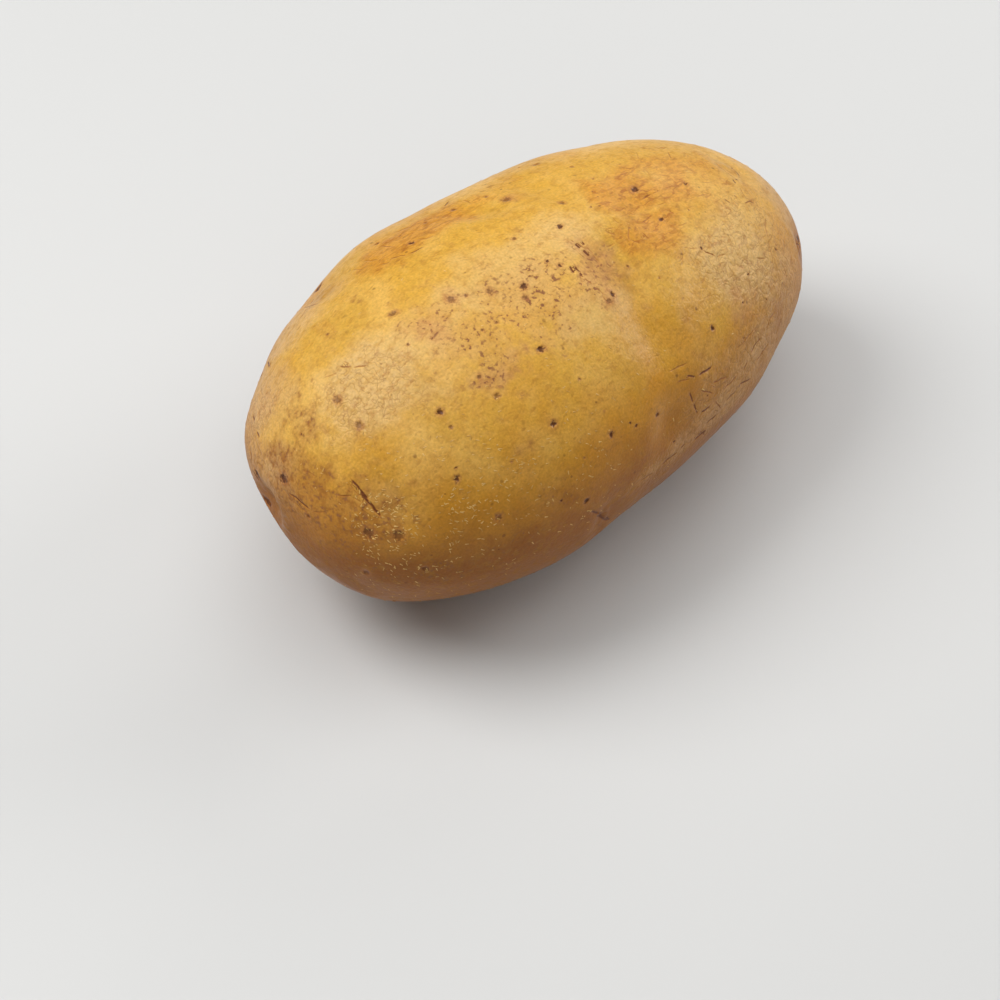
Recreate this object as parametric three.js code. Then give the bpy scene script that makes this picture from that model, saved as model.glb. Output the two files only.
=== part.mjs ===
// A whole raw potato: one tuber with a thin yellow skin, lying on its side.
// It grew as one body, so it is one mesh. Millimetres, +Z up. The tuber lies along X, with its stem end
// at -X and its rose end, where the eyes crowd together, at +X. The origin is on the surface that it
// rests on, under the middle of the box around it.

import * as THREE from "three";
import { mergeVertices } from "three/addons/utils/BufferGeometryUtils.js";

// The smooth body.
const LENGTH = 115;
const WIDTH = 65.8;
const HEIGHT = 57.4;
const TAPER = 0.1; // the stem end is this share thicker than the middle, and the rose end as much slimmer
const SIDEWAYS_BOW = 2.1; // how far the middle of the spine lies to the +Y side of its ends
const STEM_END_FULLNESS = 2.29; // 2 is an ellipse's end, and more is blunter
const ROSE_END_FULLNESS = 2.32;

// How it lies: the rose end dips until the weight is over the flat spot, which is cut this far up.
const REST_PITCH = THREE.MathUtils.degToRad(2.5);
const REST_DEPTH = 0.55;

// The skin's mesh: a sphere of triangles drawn out to the tuber, closer around the eyes.
const SPHERE_CUTS = 21; // cuts along each edge of the icosahedron
const GATHER = 0.4; // how far towards an eye its nearest vertices are drawn, as a share
const GATHER_REACH = 0.2; // radians on the sphere
const MERGE_REACH = 1e-5; // corners of the sphere's triangles this close are one vertex

// A place on the body is [along, turn]: millimetres from the middle towards the rose end, and degrees
// around the body, from the +Y side over the top.

// Eyes: a hollow with a bud in it, and on its stem side the leaf scar's ridge, the brow.
// across runs around the body. Sizes are in millimetres.
const EYES = [
  { place: [-50, 134], across: 13, depth: 0.8, brow: 0.35 },
  { place: [-30, 43], across: 12, depth: 1.0, brow: 0.3 },
  { place: [-33, -72], across: 12, depth: 1.1, brow: 0.4 },
  { place: [-16, -172], across: 10, depth: 1.0, brow: 0.35 },
  { place: [4, 114], across: 17, depth: 0.8, brow: 0.4 },
  { place: [8, -30], across: 13, depth: 1.2, brow: 0.4 },
  { place: [17, -118], across: 13, depth: 1.2, brow: 0.4 },
  { place: [29, 30], across: 13, depth: 1.2, brow: 0.4 },
  { place: [38, -72], across: 11, depth: 1.2, brow: 0.35 },
  { place: [44, 98], across: 10, depth: 0.6, brow: 0.25 },
  { place: [49, 158], across: 9, depth: 0.9, brow: 0.35 },
  { place: [51, -10], across: 9, depth: 1.1, brow: 0.35 },
  { place: [54, -125], across: 8, depth: 1.0, brow: 0.3 },
];
const EYE_LENGTH_SHARE = 0.55; // an eye's length along the body, as a share of its width across
const BROW_SPREAD = 1.8; // how far the brow's ridge falls off on each side
const BROW_SETBACK = 1.3; // the brow is this many of the hollow's half lengths behind its middle
const BROW_CURL = 0.06; // how much the brow's ends curl towards the rose end, per millimetre squared

// The scar where the tuber hung from its stem: a dimple in a low ring.
const STEM_SCAR = { place: [-56.6, -12], radius: 3.2, depth: 1.3, rim: 0.4 };
const SCAR_RING_RADIUS = 1.5; // of the ring's crest, as a share of the dimple's radius
const SCAR_RING_SPREAD = 0.6; // how far the ring falls off, as a share of the same radius

// Broad swellings and, with negative rises, flats. spread is how far one falls off.
const SWELLINGS = [
  { place: [-16, 38], spread: 7, rise: 0.8 },
  { place: [-30, 26], spread: 6, rise: -0.6 },
  { place: [-43, 22], spread: 8, rise: -0.6 },
  { place: [-52, 10], spread: 7, rise: 0.7 },
  { place: [-56, -30], spread: 8, rise: -0.7 },
  { place: [-47, -120], spread: 6, rise: 0.5 },
  { place: [-22, -160], spread: 7, rise: 0.5 },
  { place: [-6, -158], spread: 7, rise: -0.6 },
  { place: [24, -170], spread: 6, rise: 0.5 },
  { place: [37, -168], spread: 6, rise: -0.5 },
  { place: [8, 36], spread: 8, rise: -0.5 },
  { place: [-3, 65], spread: 10, rise: -0.5 },
];

// Faint dents and rises all over, drawn by a seeded rule.
const LUMP_SEED = 7;
const LUMP_COUNT = 30;
const LUMP_SPREAD = [7, 13];
const LUMP_RISE = 0.35;
const LUMP_RANGE = 0.96; // the share of the length that they are drawn along

// A linear congruential rule for random numbers, with the usual multiplier and step.
const RANDOM_MULTIPLIER = 1664525;
const RANDOM_STEP = 1013904223;
const RANDOM_RANGE = 2 ** 32;

// Random numbers from 0 to 1, the same ones each time.
function seededRandom(seed) {
  let state = seed;
  return () => {
    state = (Math.imul(state, RANDOM_MULTIPLIER) + RANDOM_STEP) >>> 0;
    return state / RANDOM_RANGE;
  };
}

// The end's fullness on this side of the middle.
function fullnessAt(station) {
  return station < 0 ? STEM_END_FULLNESS : ROSE_END_FULLNESS;
}

// A point of the smooth body. station runs from -1 at the stem end to 1 at the rose end, breadth is
// the round section's radius there, from 0 to 1, and y and z are the unit direction around it.
function bodyPoint(station, breadth, y, z) {
  const girth = breadth * (1 - TAPER * station);
  return new THREE.Vector3(
    (LENGTH / 2) * station,
    (WIDTH / 2) * girth * y + SIDEWAYS_BOW * (1 - station ** 2),
    (HEIGHT / 2) * girth * z,
  );
}

// The body's point in a direction of the unit sphere.
function pointFacing(way) {
  const across = Math.hypot(way.y, way.z);
  const fullness = fullnessAt(way.x);
  const reach = (Math.abs(way.x) ** fullness + across ** fullness) ** (-1 / fullness);
  const turn = Math.atan2(way.z, way.y);
  return bodyPoint(way.x * reach, across * reach, Math.cos(turn), Math.sin(turn));
}

// The unit direction that pointFacing draws out to a place.
function facing([along, turn]) {
  const station = along / (LENGTH / 2);
  const fullness = fullnessAt(station);
  const breadth = (1 - Math.abs(station) ** fullness) ** (1 / fullness);
  const angle = THREE.MathUtils.degToRad(turn);
  return new THREE.Vector3(station, breadth * Math.cos(angle), breadth * Math.sin(angle)).normalize();
}

// Two short steps over the skin from a place: millimetres along the body, and degrees around it.
const STEP_ALONG = 0.2;
const STEP_AROUND = 1;

// A place's centre on the body, with the directions over the skin towards the rose end and around it.
function spotAt(place) {
  const [along, turn] = place;
  const centre = pointFacing(facing(place));
  const ahead = pointFacing(facing([along + STEP_ALONG, turn])).sub(centre);
  const around = pointFacing(facing([along, turn + STEP_AROUND])).sub(centre).normalize();
  ahead.addScaledVector(around, -ahead.dot(around)).normalize();
  return { centre, ahead, around };
}

// Falls smoothly from 1 at 0 to almost nothing at 2.
function fade(distance) {
  return Math.exp(-(distance ** 2));
}

// How far an eye raises the skin at an offset from its centre.
function eyeRelief(eye, offset) {
  const ahead = offset.dot(eye.spot.ahead);
  const around = offset.dot(eye.spot.around);
  const halfLength = (eye.across * EYE_LENGTH_SHARE) / 2;
  const halfAcross = eye.across / 2;
  const hollow = fade(Math.hypot(ahead / halfLength, around / halfAcross));
  const browLine = -halfLength * BROW_SETBACK + BROW_CURL * around ** 2;
  const brow = fade((ahead - browLine) / BROW_SPREAD) * fade(around / halfAcross);
  return eye.brow * brow - eye.depth * hollow;
}

// How far the stem's scar raises the skin at a distance from its centre.
function scarRelief(distance) {
  const { radius, depth, rim } = STEM_SCAR;
  const fromRing = (distance - SCAR_RING_RADIUS * radius) / (SCAR_RING_SPREAD * radius);
  return rim * fade(fromRing) - depth * fade(distance / radius);
}

// The lumps as swellings at seeded places.
function drawLumps() {
  const random = seededRandom(LUMP_SEED);
  const [least, most] = LUMP_SPREAD;
  return Array.from({ length: LUMP_COUNT }, () => ({
    place: [(random() - 0.5) * LENGTH * LUMP_RANGE, random() * 360],
    spread: least + (most - least) * random(),
    rise: LUMP_RISE * (2 * random() - 1),
  }));
}

const eyes = EYES.map((eye) => ({ ...eye, way: facing(eye.place), spot: spotAt(eye.place) }));
const swellings = [...SWELLINGS, ...drawLumps()].map((swelling) => ({
  ...swelling,
  centre: pointFacing(facing(swelling.place)),
}));
const scarCentre = pointFacing(facing(STEM_SCAR.place));

// How far the skin stands proud of the smooth body at a point of it.
function relief(point) {
  const offset = new THREE.Vector3();
  let rise = scarRelief(point.distanceTo(scarCentre));
  for (const swelling of swellings) {
    rise += swelling.rise * fade(point.distanceTo(swelling.centre) / swelling.spread);
  }
  for (const eye of eyes) {
    rise += eyeRelief(eye, offset.subVectors(point, eye.spot.centre));
  }
  return rise;
}

// The unit sphere's triangles as one closed mesh, with the vertices drawn in around the eyes.
function gatheredSphere() {
  const sphere = new THREE.IcosahedronGeometry(1, SPHERE_CUTS);
  sphere.deleteAttribute("normal");
  sphere.deleteAttribute("uv");
  const merged = mergeVertices(sphere, MERGE_REACH);
  const vertices = merged.getAttribute("position");
  const way = new THREE.Vector3();
  for (let i = 0; i < vertices.count; i++) {
    way.fromBufferAttribute(vertices, i);
    for (const eye of eyes) {
      way.lerp(eye.way, GATHER * fade(way.angleTo(eye.way) / GATHER_REACH)).normalize();
    }
    vertices.setXYZ(i, way.x, way.y, way.z);
  }
  return merged;
}

// The whole skin, in the pose that it rests in.
function tuberGeometry() {
  const geometry = gatheredSphere();
  const vertices = geometry.getAttribute("position");
  const point = new THREE.Vector3();
  for (let i = 0; i < vertices.count; i++) {
    point.copy(pointFacing(point.fromBufferAttribute(vertices, i)));
    vertices.setXYZ(i, point.x, point.y, point.z);
  }
  geometry.computeVertexNormals();
  const normals = geometry.getAttribute("normal");
  const outward = new THREE.Vector3();
  for (let i = 0; i < vertices.count; i++) {
    point.fromBufferAttribute(vertices, i);
    outward.fromBufferAttribute(normals, i);
    point.addScaledVector(outward, relief(point));
    vertices.setXYZ(i, point.x, point.y, point.z);
  }
  geometry.rotateY(REST_PITCH);
  geometry.computeBoundingBox();
  const restLevel = geometry.boundingBox.min.z + REST_DEPTH;
  for (let i = 0; i < vertices.count; i++) {
    vertices.setZ(i, Math.max(vertices.getZ(i), restLevel));
  }
  geometry.computeBoundingBox();
  const { min, max } = geometry.boundingBox;
  geometry.translate(-(min.x + max.x) / 2, -(min.y + max.y) / 2, -restLevel);
  geometry.computeVertexNormals();
  return geometry;
}

const skin = new THREE.MeshStandardMaterial({ color: 0xc99640, roughness: 0.55, metalness: 0 });
const potato = new THREE.Mesh(tuberGeometry(), skin);
potato.name = "potato";

const part = new THREE.Group();
part.add(potato);

export default part;
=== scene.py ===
# %% [markdown]
# # A raw potato on a pale table
# A potato is a swollen piece of underground stem. It grows as one body, so it is one solid in the CAD
# model, and the work here is all in its skin: a thin, satin, golden layer of cork with pores, eyes,
# cracks, rubbed places and loose flakes.
#
# The script goes from large to small. It loads the model, sets the camera and the lights, makes a finer
# copy of the solid, marks where things are on its surface, raises and dents it, and then mixes the
# colours by the same marks. Lengths in the notes and in most values are millimetres.

import math
import random

import bmesh
import bpy
import numpy as np
from mathutils import Matrix, Vector, noise
from mathutils.bvhtree import BVHTree


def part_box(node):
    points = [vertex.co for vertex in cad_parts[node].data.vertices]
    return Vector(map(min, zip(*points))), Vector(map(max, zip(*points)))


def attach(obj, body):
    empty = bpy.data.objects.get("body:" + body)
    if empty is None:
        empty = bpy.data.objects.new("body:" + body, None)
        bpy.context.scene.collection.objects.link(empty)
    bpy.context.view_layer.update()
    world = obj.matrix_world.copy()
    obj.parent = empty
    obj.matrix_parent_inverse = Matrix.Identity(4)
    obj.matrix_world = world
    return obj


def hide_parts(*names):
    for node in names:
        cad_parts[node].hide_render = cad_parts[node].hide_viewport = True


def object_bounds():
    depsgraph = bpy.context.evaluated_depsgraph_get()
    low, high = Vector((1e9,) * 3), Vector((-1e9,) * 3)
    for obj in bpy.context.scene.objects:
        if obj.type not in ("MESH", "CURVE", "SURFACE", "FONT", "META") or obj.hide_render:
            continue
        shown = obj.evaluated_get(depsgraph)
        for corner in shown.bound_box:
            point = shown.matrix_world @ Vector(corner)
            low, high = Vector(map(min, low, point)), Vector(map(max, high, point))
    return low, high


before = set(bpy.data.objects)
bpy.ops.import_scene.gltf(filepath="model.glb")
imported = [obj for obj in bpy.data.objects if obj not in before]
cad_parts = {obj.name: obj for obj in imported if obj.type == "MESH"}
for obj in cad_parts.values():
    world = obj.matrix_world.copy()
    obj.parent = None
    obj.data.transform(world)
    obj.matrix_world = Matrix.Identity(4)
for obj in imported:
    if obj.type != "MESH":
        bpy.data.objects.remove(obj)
cad_low, cad_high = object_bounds()
MM = 0.001  # a millimetre in Blender's metres
POTATO = "potato"  # the solid's name
low_corner, high_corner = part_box(POTATO)
LENGTH, WIDTH, HEIGHT = ((high_corner - low_corner) / MM)
print(f"the potato is {LENGTH:.1f} x {WIDTH:.1f} x {HEIGHT:.1f} mm")

# %% [markdown]
# ## The camera
# The photograph looks down on the potato at 46 degrees, from the side where its stem end is near and
# its other end, the rose end, is far. The foreshortening is mild, as with a long lens. The potato sits
# above the middle of the picture, so the camera is aimed a little below it and not shifted.

# %% Set the camera
PICTURE = 1000  # pixels, both ways
SENSOR = 36.0
LENS = 90.0
CAMERA_AZIMUTH = math.radians(-46.1)
CAMERA_ELEVATION = math.radians(46)
CAMERA_DISTANCE = 435.7
AIM_LEFT = 5.9  # how far left of the potato's middle the camera is aimed
AIM_DOWN = 26.4

middle = Vector((0, 0, HEIGHT / 2)) * MM
camera_back = Vector((
    math.sin(CAMERA_AZIMUTH) * math.cos(CAMERA_ELEVATION),
    -math.cos(CAMERA_AZIMUTH) * math.cos(CAMERA_ELEVATION),
    math.sin(CAMERA_ELEVATION),
))
camera_right = Vector((math.cos(CAMERA_AZIMUTH), math.sin(CAMERA_AZIMUTH), 0))
camera_up = camera_back.cross(camera_right)

camera = bpy.data.objects.new("camera", bpy.data.cameras.new("camera"))
camera.data.lens = LENS
camera.data.sensor_width = SENSOR
camera.location = middle + camera_back * CAMERA_DISTANCE * MM
aim = middle - (camera_right * AIM_LEFT + camera_up * AIM_DOWN) * MM
camera_turn = (aim - camera.location).to_track_quat("-Z", "Y")
camera.rotation_euler = camera_turn.to_euler()
bpy.context.scene.collection.objects.link(camera)
bpy.context.scene.camera = camera
print("camera at", [round(x, 3) for x in camera.location])

# %% [markdown]
# ## The floor, the room and the lights
# The potato was photographed in a bright white surround. Here a large lamp above and behind makes the
# bright band along the upper side, a very large one straight above lights the top and the floor evenly,
# and three weaker ones fill the rose end and the near side. The pale round floor gives some light
# back from below, so the room itself needs almost none. It only looks bright: the light path node
# tells the rays that the camera sends out from those that carry light. Soft lamps are large: their
# size for their distance sets how soft a shadow is.

# %% Make the floor, the world and the lights
FLOOR_RADIUS = 0.6  # metres; it ends where the lamps stop lighting it evenly
FLOOR_SIDES = 128
FLOOR_COLOUR = (0.62, 0.62, 0.61)
LAMPS = [  # name, direction, distance, size and power in metres and watts
    ("key_lamp", (-0.42, 0.46, 0.79), 0.75, 0.50, 4.1),
    ("top_lamp", (0.0, 0.0, 1.0), 2.20, 2.40, 24.5),
    ("side_lamp", (0.88, -0.34, 0.36), 0.80, 0.40, 2.4),
    ("rose_lamp", (0.80, 0.35, 0.50), 0.80, 0.50, 1.2),
    ("front_lamp", (-0.45, -0.60, 0.65), 0.90, 0.60, 0.9),
]
WORLD_STRENGTH = 0.06  # as a light
WORLD_SEEN = 0.75  # as a backdrop


def linked(name, data):
    """An object made from data, in the scene."""
    made = bpy.data.objects.new(name, data)
    bpy.context.scene.collection.objects.link(made)
    return made


def plain_material(name, colour, roughness):
    """A material of one colour, for what isn't part of the potato."""
    made = bpy.data.materials.new(name)
    made.use_nodes = True
    shader = made.node_tree.nodes["Principled BSDF"]
    shader.inputs["Base Color"].default_value = (*colour, 1)
    shader.inputs["Roughness"].default_value = roughness
    return made


floor_shape = bmesh.new()
bmesh.ops.create_circle(floor_shape, cap_ends=True, segments=FLOOR_SIDES, radius=FLOOR_RADIUS)
floor = linked("floor", bpy.data.meshes.new("floor"))
floor_shape.to_mesh(floor.data)
floor_shape.free()
floor.data.materials.append(plain_material("pale floor", FLOOR_COLOUR, 0.6))

for name, direction, distance, size, power in LAMPS:
    lamp = linked(name, bpy.data.lights.new(name, "AREA"))
    lamp.data.shape = "DISK"
    lamp.data.size = size
    lamp.data.energy = power
    away = Vector(direction).normalized()
    lamp.location = middle + away * distance
    lamp.rotation_euler = away.to_track_quat("Z", "Y").to_euler()

world = bpy.data.worlds.new("white room")
world.use_nodes = True
backdrop = world.node_tree.nodes["Background"]
backdrop.inputs["Color"].default_value = (1.0, 0.99, 0.97, 1)
ray = world.node_tree.nodes.new("ShaderNodeLightPath")
strength = world.node_tree.nodes.new("ShaderNodeMix")  # its inputs are the share and the two values
strength.inputs["A"].default_value = WORLD_STRENGTH
strength.inputs["B"].default_value = WORLD_SEEN
world.node_tree.links.new(ray.outputs["Is Camera Ray"], strength.inputs["Factor"])
world.node_tree.links.new(strength.outputs["Result"], backdrop.inputs["Strength"])
bpy.context.scene.world = world
bpy.context.scene.view_settings.view_transform = "Standard"
print("lit by", [lamp[0] for lamp in LAMPS], "and a white world")

# %% [markdown]
# ## A finer copy of the solid
# The CAD solid has about ten thousand triangles with edges of 2 mm, which is right for its form and too
# coarse for its skin. It could be smoothed by a Subdivision Surface modifier, but that makes quads out
# of triangles and many more faces than are needed. Here each triangle is cut in four twice, with a
# little smoothing between, and the flat spot that the potato rests on is held still.

# %% Copy, merge, cut and smooth
MERGE_REACH = 1e-6  # metres
REST_LEVEL = 0.02 * MM  # vertices below this are on the flat spot
SMOOTHINGS = 2  # after each cut


def smooth_off_the_floor(shape, times):
    """Evens out the vertices, apart from those that the potato rests on."""
    free = [v for v in shape.verts if v.co.z > REST_LEVEL]
    for _ in range(times):
        bmesh.ops.smooth_vert(
            shape, verts=free, factor=0.5, use_axis_x=True, use_axis_y=True, use_axis_z=True
        )


skin_shape = bmesh.new()
skin_shape.from_mesh(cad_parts[POTATO].data)
bmesh.ops.remove_doubles(skin_shape, verts=skin_shape.verts, dist=MERGE_REACH)
for _ in range(2):
    bmesh.ops.subdivide_edges(skin_shape, edges=skin_shape.edges, cuts=1, use_grid_fill=True)
    smooth_off_the_floor(skin_shape, SMOOTHINGS)
skin_shape.normal_update()
surface = BVHTree.FromBMesh(skin_shape)
print(len(skin_shape.verts), "vertices,", len(skin_shape.faces), "faces")

# %% [markdown]
# ## Finding places on the skin
# What the photograph shows is placed by its pixel: a ray from the camera through that pixel meets the
# skin at the right spot, so the mark sits on the surface from every side. What it doesn't show is
# placed by a distance along the potato and a turn around it, from the +Y side over the top, and a ray
# goes out from the spine to the skin.

# %% Two ways to a spot on the skin
FOCAL_PIXELS = LENS / SENSOR * PICTURE
MIDDLE_PIXEL = (528, 355)  # the potato's middle in the picture
NUDGE = 0.01  # a pixel that misses the skin moves in by this share
SPINE_PITCH = math.radians(2.5)  # the rose end dips this much
SPINE_BOW = 2.1  # the spine's middle lies this far to the +Y side
SPINE_SIDE = -1.8  # the spine's ends lie this far to the -Y side of the box's middle
SPINE_LEVEL = 28.05
GIRTH_RATIO = 65.8 / 57.4  # the section's width for its height


class Spot:
    """A point on the skin, with the directions outwards, towards the rose end, and around."""

    def __init__(self, point, outward):
        self.point = np.array(point) / MM
        self.outward = np.array(outward)
        ahead = np.array([1.0, 0.0, 0.0])
        ahead -= self.outward * ahead.dot(self.outward)
        self.ahead = ahead / np.linalg.norm(ahead)
        self.around = np.cross(self.outward, self.ahead)


def spot_at_pixel(x, y):
    """The spot that a pixel of the photograph shows, or one just inside where it misses the skin."""
    point = None
    while point is None:
        sight = Vector(((x - PICTURE / 2) / FOCAL_PIXELS, (PICTURE / 2 - y) / FOCAL_PIXELS, -1))
        sight.rotate(camera_turn)
        point, outward, _, _ = surface.ray_cast(camera.location, sight.normalized())
        x += (MIDDLE_PIXEL[0] - x) * NUDGE
        y += (MIDDLE_PIXEL[1] - y) * NUDGE
    return Spot(point, outward)


def spot_at_place(along, turn):
    """The spot that is this far along the potato, at this turn around it in degrees."""
    bow = SPINE_BOW * (1 - (2 * along / LENGTH) ** 2)
    angle = math.radians(turn)
    pitch = Matrix.Rotation(SPINE_PITCH, 3, "Y")
    start = pitch @ Vector((along, bow, 0)) + Vector((0, SPINE_SIDE, SPINE_LEVEL))
    out = pitch @ Vector((0, GIRTH_RATIO * math.cos(angle), math.sin(angle)))
    point, outward, _, _ = surface.ray_cast(start * MM, out.normalized())
    return Spot(point, outward)


def nearest_spot(point):
    """The spot that is closest to a point near the skin."""
    on_skin, outward, _, _ = surface.find_nearest(Vector(point) * MM)
    return Spot(on_skin, outward)


print("pixel 540, 348 is at", spot_at_pixel(540, 348).point.round(1))

# %% [markdown]
# ## Eyes
# An eye is where a leaf scar and its buds are. On the real potato it is a shallow hollow, with a curved
# ridge, the brow, on its stem side, a dark line at the ridge's foot, and a few tiny buds. The solid has
# the hollows and the ridges already, so only the fine things are added: the line and the buds. The
# same names and places are used as in the solid.

# %% Where the eyes and the stem's scar are
EYES = [  # along, turn, width around the potato
    (-50, 134, 13), (-30, 43, 12), (-33, -72, 12), (-16, -172, 10), (4, 114, 17), (8, -30, 13),
    (17, -118, 13), (29, 30, 13), (38, -72, 11), (44, 98, 10), (49, 158, 9), (51, -10, 9),
    (54, -125, 8),
]
SEEN_EYES = [(-50, 134), (-16, -172), (4, 114)]  # the photograph's own lines are drawn on these
EYE_LENGTH_SHARE = 0.55
BROW_SETBACK = 0.95
BROW_CURL = 0.06
BROW_LINE_SHARE = 0.62  # the dark line's length as a share of the eye's width
BROW_LINE_POINTS = 24
BUD_COUNT = 3
BUD_SPACING = 0.11  # as a share of the eye's width
BUD_JITTER = 0.3
BUD_AHEAD = (-0.6, 0.9)
BUD_RADII = (0.6, 1.0)
STEM_SCAR = (-56.6, -12)
SCAR_RADIUS = 3.2

chance = random.Random(11)
eye_spots = [(spot_at_place(along, turn), across) for along, turn, across in EYES]
scar_spot = spot_at_place(*STEM_SCAR)


def brow_line(spot, across):
    """Points along the dark line at the foot of an eye's brow."""
    half_length = across * EYE_LENGTH_SHARE / 2
    reach = across * BROW_LINE_SHARE / 2
    points = []
    for step in np.linspace(-reach, reach, BROW_LINE_POINTS):
        ahead = -half_length * BROW_SETBACK + BROW_CURL * step ** 2
        near = spot.point + spot.ahead * ahead + spot.around * step
        points.append(nearest_spot(near).point)
    return points


buds = []
for spot, across in eye_spots:
    for number in range(BUD_COUNT):
        side = (number - (BUD_COUNT - 1) / 2) * across * BUD_SPACING
        near = spot.point + spot.around * (side + chance.uniform(-BUD_JITTER, BUD_JITTER))
        near = near + spot.ahead * chance.uniform(*BUD_AHEAD)
        buds.append((nearest_spot(near).point, chance.uniform(*BUD_RADII)))
print(len(EYES), "eyes with", len(buds), "buds")

# %% [markdown]
# ## Scratches, creases and cracks
# The skin has dark lines of three kinds: short scratches side by side at the eyes, long creases where
# the surface once folded, and black nicks at the edges. Each is a groove along a path over the skin. The
# ones that the photograph shows run between two of its pixels, with a slight waver, and a line's
# strength sets its width, its depth and its darkness together.

# %% Draw the lines over the skin
LINES_SEEN = [  # from pixel, to pixel, strength from 0 to 1
    # scratches at the two eyes in the upper middle
    (570, 239, 574, 242, 0.4), (575, 243, 581, 248, 1.0), (582, 240, 585, 245, 0.6),
    (583, 249, 590, 256, 1.0), (578, 241, 588, 251, 0.4), (586, 245, 594, 254, 0.35),
    (590, 252, 600, 262, 0.3), (569, 265, 575, 273, 0.8), (575, 264, 583, 277, 0.8),
    (580, 272, 583, 277, 0.8), (584, 277, 593, 284, 0.45), (577, 270, 584, 284, 0.35),
    (596, 285, 605, 296, 0.35), (602, 294, 608, 303, 0.4),
    # the long crease and the lines around it, near the stem end
    (349, 477, 370, 502, 0.8), (358, 490, 383, 519, 1.0), (346, 480, 362, 500, 0.35),
    (337, 495, 352, 497, 0.45), (352, 497, 362, 503, 0.4), (286, 491, 312, 512, 0.6),
    (284, 496, 308, 514, 0.35), (312, 512, 326, 513, 0.35), (386, 522, 395, 530, 0.4),
    (300, 468, 318, 478, 0.3),
    # the notch on the lower edge
    (592, 511, 600, 514, 1.0), (596, 516, 609, 521, 1.0), (600, 512, 604, 519, 0.9),
    (606, 517, 610, 521, 0.9),
    # dark nicks on the upper left edge, at the stem end and at the rose end
    (312, 292, 323, 281, 1.0), (310, 296, 318, 287, 1.0), (308, 304, 313, 298, 0.5),
    (252, 470, 259, 482, 1.0), (264, 499, 271, 507, 1.0), (262, 494, 266, 500, 0.8),
    (800, 233, 802, 247, 1.0), (796, 243, 801, 249, 0.6),
    # cracks in the dry rind of the lower right side
    (694, 442, 708, 429, 1.0), (681, 449, 687, 444, 0.8), (706, 425, 719, 414, 0.7),
    (690, 391, 694, 404, 0.6), (694, 403, 699, 415, 0.6), (701, 413, 712, 407, 0.7),
    (686, 376, 698, 377, 0.6), (698, 376, 714, 366, 0.8), (739, 386, 752, 378, 0.6),
    (726, 402, 738, 390, 0.6), (716, 400, 722, 410, 0.5), (744, 373, 749, 360, 0.5),
    (700, 390, 716, 394, 0.5), (712, 384, 730, 376, 0.5), (722, 392, 740, 374, 0.5),
    (750, 356, 762, 336, 0.5), (756, 364, 770, 342, 0.5), (735, 352, 760, 325, 0.4),
    (668, 372, 690, 362, 0.4), (676, 383, 692, 378, 0.4), (660, 466, 680, 452, 0.6),
    (640, 482, 656, 472, 0.5), (700, 431, 706, 436, 0.5), (766, 330, 778, 306, 0.4),
    # streaks along the left edge
    (267, 361, 269, 368, 0.8), (252, 415, 254, 421, 0.6), (255, 431, 258, 438, 0.6),
    (298, 320, 308, 306, 0.35), (284, 340, 296, 322, 0.35), (277, 342, 290, 318, 0.3),
    (262, 390, 267, 376, 0.35), (270, 474, 274, 462, 0.35), (258, 446, 261, 456, 0.4),
    (249, 450, 251, 462, 0.5),
    # cracks at the rose end
    (731, 165, 741, 177, 0.7), (733, 178, 737, 183, 0.7), (734, 194, 738, 198, 0.5),
    (745, 203, 753, 200, 0.5), (724, 198, 732, 203, 0.5), (765, 214, 768, 240, 0.35),
    (768, 240, 774, 258, 0.35), (703, 249, 717, 257, 0.5), (717, 257, 727, 253, 0.4),
    (756, 257, 768, 259, 0.4), (740, 186, 745, 196, 0.35), (784, 262, 788, 280, 0.35),
    # strokes in the large orange patch
    (642, 199, 652, 193, 0.5), (652, 193, 658, 190, 0.35), (628, 211, 637, 215, 0.35),
    (640, 222, 654, 215, 0.4), (628, 224, 630, 240, 0.4), (602, 228, 616, 228, 0.3),
    (604, 230, 617, 235, 0.4), (606, 247, 616, 242, 0.35), (631, 239, 642, 243, 0.4),
    (641, 231, 650, 239, 0.45), (664, 209, 676, 213, 0.35), (700, 181, 711, 182, 0.3),
    (695, 196, 711, 193, 0.3), (668, 150, 672, 159, 0.4), (659, 147, 668, 147, 0.5),
    (622, 167, 632, 168, 0.3), (636, 151, 639, 159, 0.3), (682, 248, 700, 248, 0.3),
    (655, 206, 668, 201, 0.3), (612, 216, 620, 224, 0.3), (618, 186, 626, 178, 0.3),
    (676, 226, 690, 222, 0.3), (644, 168, 652, 176, 0.3), (684, 160, 696, 166, 0.25),
    # strokes in the long orange patch on the upper left side
    (388, 258, 408, 254, 0.45), (408, 254, 425, 245, 0.5), (414, 240, 435, 235, 0.4),
    (429, 257, 441, 253, 0.3), (443, 206, 449, 200, 0.6), (462, 199, 472, 203, 0.4),
    (380, 245, 393, 246, 0.45), (380, 264, 392, 261, 0.4), (362, 262, 380, 258, 0.4),
    (350, 270, 365, 268, 0.35), (395, 232, 412, 224, 0.4), (420, 228, 440, 218, 0.35),
    # the long dry crack on the left
    (338, 365, 352, 367, 0.5), (352, 367, 368, 364, 0.45), (343, 360, 350, 364, 0.35),
    (322, 378, 338, 372, 0.3),
]
BROW_LINE_STRENGTH = 0.5
LINE_STEP = 0.3  # the spacing of a path's points
PIXEL_SIZE = 0.18  # at the potato, roughly
WAVER = 1.2  # pixels
WAVER_PACE = 0.12  # how fast the waver changes, per pixel


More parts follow.
